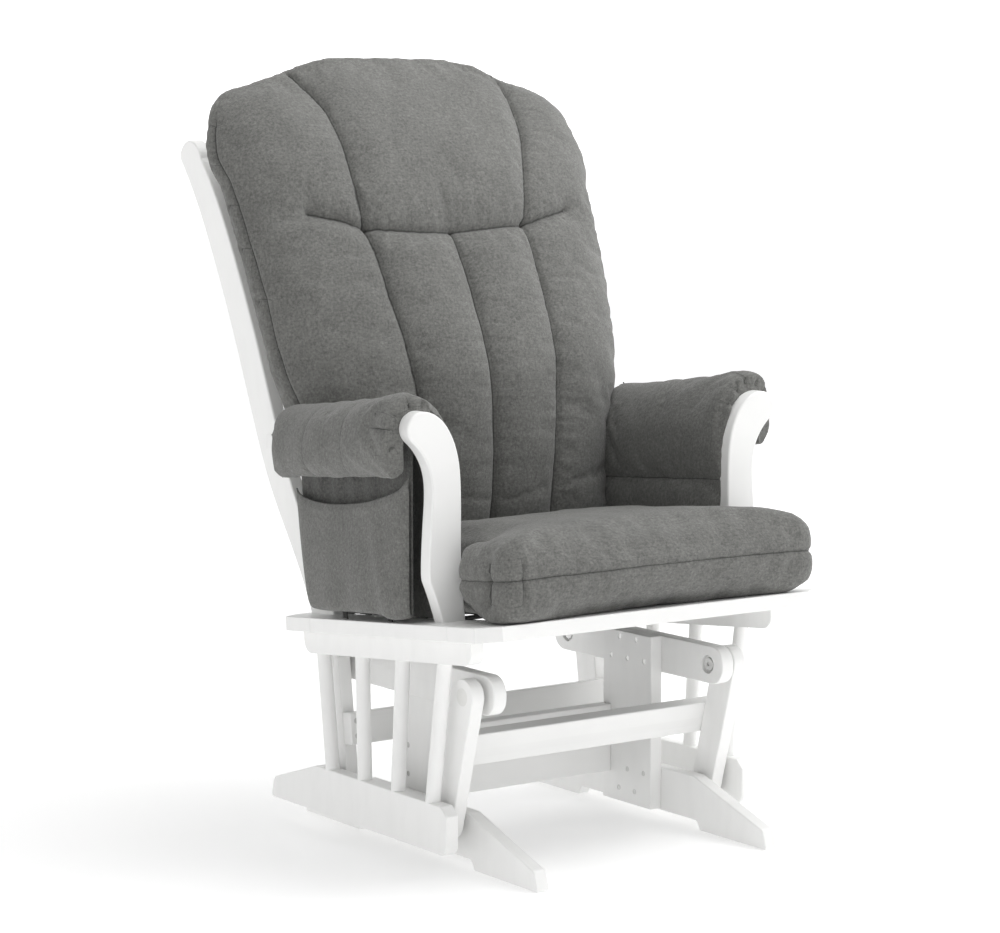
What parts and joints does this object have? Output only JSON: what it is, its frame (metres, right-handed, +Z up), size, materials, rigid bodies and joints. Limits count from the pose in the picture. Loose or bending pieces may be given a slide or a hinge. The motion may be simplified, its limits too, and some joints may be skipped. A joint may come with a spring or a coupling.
{
  "type": "glider nursery chair",
  "caption": "Wooden glider chair with padded arms, side pockets, a thick seat cushion and a tall back cushion; the seat glides on swinging links over a fixed base.",
  "frame": {"origin": "bottom centre of the chair's box, on the floor", "axes": "+Z up, -Y towards the front of the chair, +X towards the viewer's right when the chair faces the viewer"},
  "size_m": [0.662, 0.7772, 1.078],
  "materials": {
    "white_paint": "satin white paint",
    "grey_fabric": "mid grey heathered woven cloth",
    "zinc_steel": "zinc plated",
    "bearing_nylon": "matte",
    "webbing": "elastic webbing"
  },
  "bodies": {
    "base": {"left_foot": "white_paint", "left_post": "white_paint", "left_beam": "white_paint", "right_foot": "white_paint", "right_post": "white_paint", "right_beam": "white_paint", "base_cross_board": "white_paint", "post_screws": "zinc_steel", "cross_board_screws": "zinc_steel", "upper_pivot_bolts": "zinc_steel", "upper_pivot_spacers": "zinc_steel", "upper_pivot_nuts": "zinc_steel"},
    "front_swing": {"left_front_link": "white_paint", "right_front_link": "white_paint", "front_stretcher": "white_paint", "front_stretcher_screws": "zinc_steel", "front_link_bearings": "bearing_nylon"},
    "rear_swing": {"left_rear_link": "white_paint", "right_rear_link": "white_paint", "rear_stretcher": "white_paint", "rear_stretcher_screws": "zinc_steel", "rear_link_bearings": "bearing_nylon"},
    "seat_unit": {"left_lower_rail": "white_paint", "left_upper_rail": "white_paint", "left_spindle_1": "white_paint", "left_spindle_2": "white_paint", "left_spindle_3": "white_paint", "left_spindle_4": "white_paint", "left_deck_board": "white_paint", "left_arm_post": "white_paint", "left_arm_board": "white_paint", "left_back_post": "white_paint", "left_arm_pad": "grey_fabric", "left_side_pocket": "grey_fabric", "right_lower_rail": "white_paint", "right_upper_rail": "white_paint", "right_spindle_1": "white_paint", "right_spindle_2": "white_paint", "right_spindle_3": "white_paint", "right_spindle_4": "white_paint", "right_deck_board": "white_paint", "right_arm_post": "white_paint", "right_arm_board": "white_paint", "right_back_post": "white_paint", "right_arm_pad": "grey_fabric", "right_side_pocket": "grey_fabric", "deck_front_board": "white_paint", "deck_rear_board": "white_paint", "back_top_rail": "white_paint", "back_bottom_rail": "white_paint", "back_slats": "white_paint", "lower_pivot_bolts": "zinc_steel", "lower_pivot_spacers": "zinc_steel", "rail_inserts": "zinc_steel", "frame_screws": "zinc_steel", "seat_webbing": "webbing", "pocket_ties": "grey_fabric", "seat_cushion": "grey_fabric", "back_cushion": "grey_fabric"}
  },
  "joints": [
    {"name": "front_glide", "type": "hinge", "parent": "base", "child": "front_swing", "pos_m": [0, -0.2499, 0.2384], "axis": [1, 0, 0], "range_deg": [-10, 10]},
    {"name": "seat_pivot", "type": "hinge", "parent": "front_swing", "child": "seat_unit", "pos_m": [0, -0.2039, 0.062], "axis": [1, 0, 0], "range_deg": [-12.8, 12.8]},
    {"name": "rear_glide", "type": "hinge", "parent": "base", "child": "rear_swing", "pos_m": [0, 0.0741, 0.2384], "axis": [1, 0, 0], "range_deg": [-10.2, 10.2]}
  ],
  "couplings": [
    {"joint": "seat_pivot", "follows": "front_glide", "ratio": -1.272},
    {"joint": "rear_glide", "follows": "front_glide", "ratio": 1}
  ]
}
